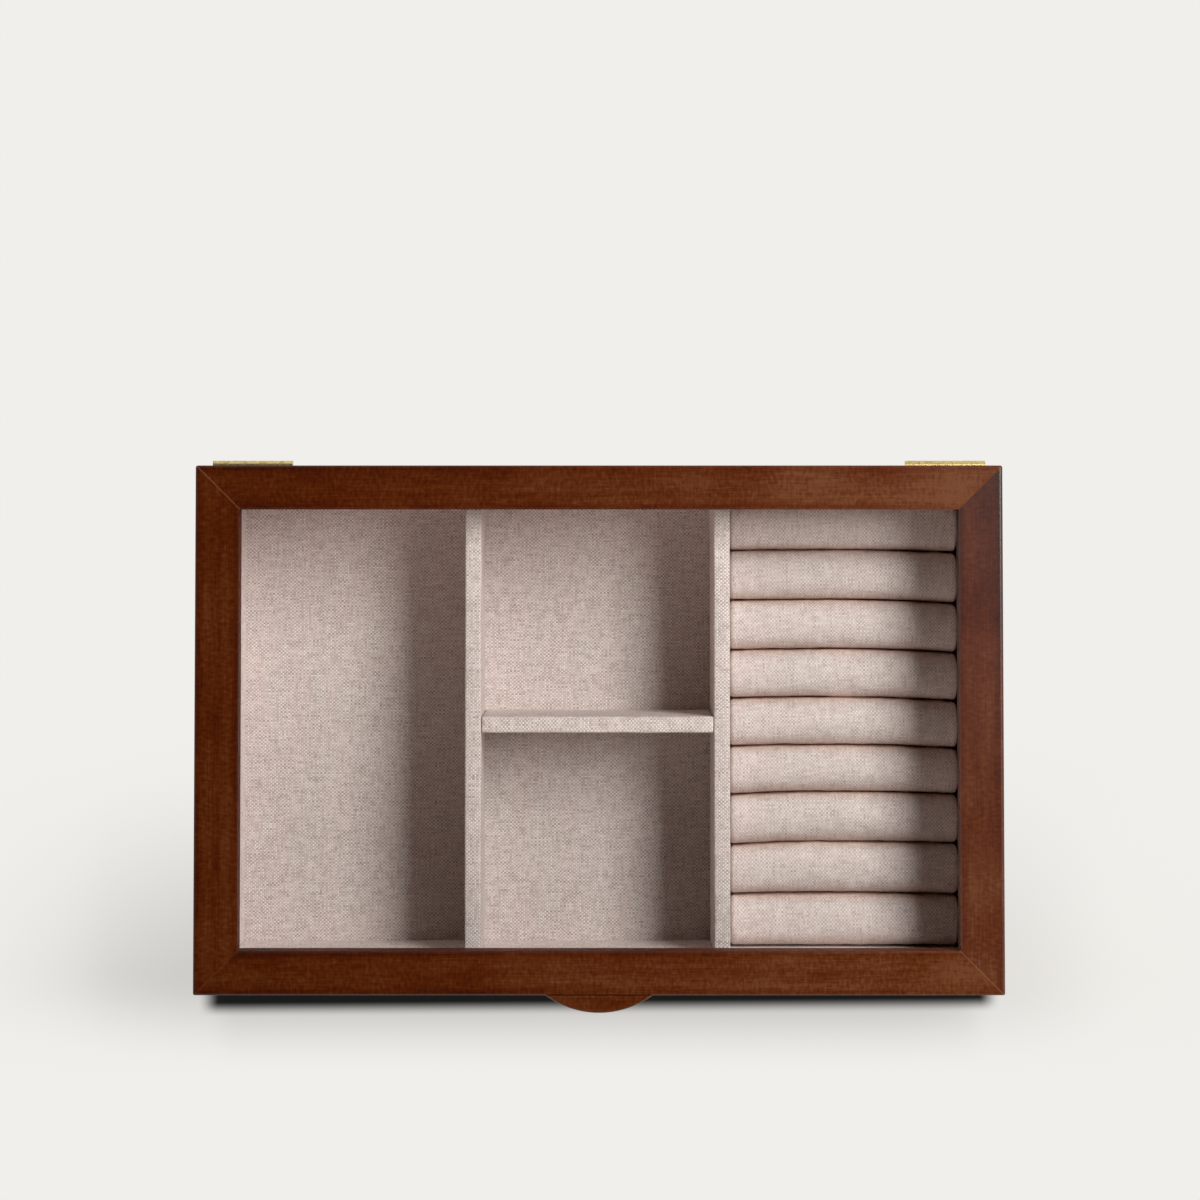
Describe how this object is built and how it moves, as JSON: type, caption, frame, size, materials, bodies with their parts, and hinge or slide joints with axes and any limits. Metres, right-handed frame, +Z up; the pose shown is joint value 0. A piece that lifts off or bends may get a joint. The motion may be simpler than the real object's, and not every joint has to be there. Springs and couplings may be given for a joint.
{
  "type": "jewellery box",
  "caption": "Low wooden jewellery box with a hinged glass lid, linen-lined bays and a row of padded ring rolls.",
  "frame": {"origin": "middle of the case's footprint, on the surface that the box stands on", "axes": "+Z up through the glass, +Y from the front with the thumb lip to the back with the hinges, +X to the right where the ring rolls are"},
  "size_m": [0.25, 0.1701, 0.0603],
  "materials": {
    "stained_wood": "satin lacquer",
    "plain_board": "bare",
    "base_felt": "felt",
    "linen": "plain weave",
    "roll_linen": "plain weave over foam",
    "lid_glass": "clear polished",
    "brass": "bright"
  },
  "bodies": {
    "case": {"case_front_wall": "stained_wood", "case_back_wall": "stained_wood", "case_left_wall": "stained_wood", "case_right_wall": "stained_wood", "base_panel": "plain_board", "base_felt": "base_felt", "lining_front": "linen", "lining_back": "linen", "lining_left": "linen", "lining_right": "linen", "floor_pad_left": "linen", "floor_pad_middle_rear": "linen", "floor_pad_middle_front": "linen", "floor_pad_rings": "linen", "divider_left": "linen", "divider_right": "linen", "divider_cross": "linen", "ring_roll_1": "roll_linen", "ring_roll_2": "roll_linen", "ring_roll_3": "roll_linen", "ring_roll_4": "roll_linen", "ring_roll_5": "roll_linen", "ring_roll_6": "roll_linen", "ring_roll_7": "roll_linen", "ring_roll_8": "roll_linen", "ring_roll_9": "roll_linen", "hinge_left_case_leaf": "brass", "hinge_left_pin": "brass", "hinge_right_case_leaf": "brass", "hinge_right_pin": "brass", "case_hinge_screws": "brass"},
    "lid": {"lid_front_rail": "stained_wood", "lid_back_rail": "stained_wood", "lid_left_stile": "stained_wood", "lid_right_stile": "stained_wood", "glass_pane": "lid_glass", "thumb_lip": "stained_wood", "glazing_bead_front": "stained_wood", "glazing_bead_back": "stained_wood", "glazing_bead_left": "stained_wood", "glazing_bead_right": "stained_wood", "hinge_left_lid_leaf": "brass", "hinge_right_lid_leaf": "brass", "lid_hinge_screws": "brass"}
  },
  "joints": [
    {"name": "lid_hinge", "type": "hinge", "parent": "case", "child": "lid", "pos_m": [0, 0.0816, 0.04715], "axis": [-1, 0, 0], "range_deg": [0, 105]}
  ]
}
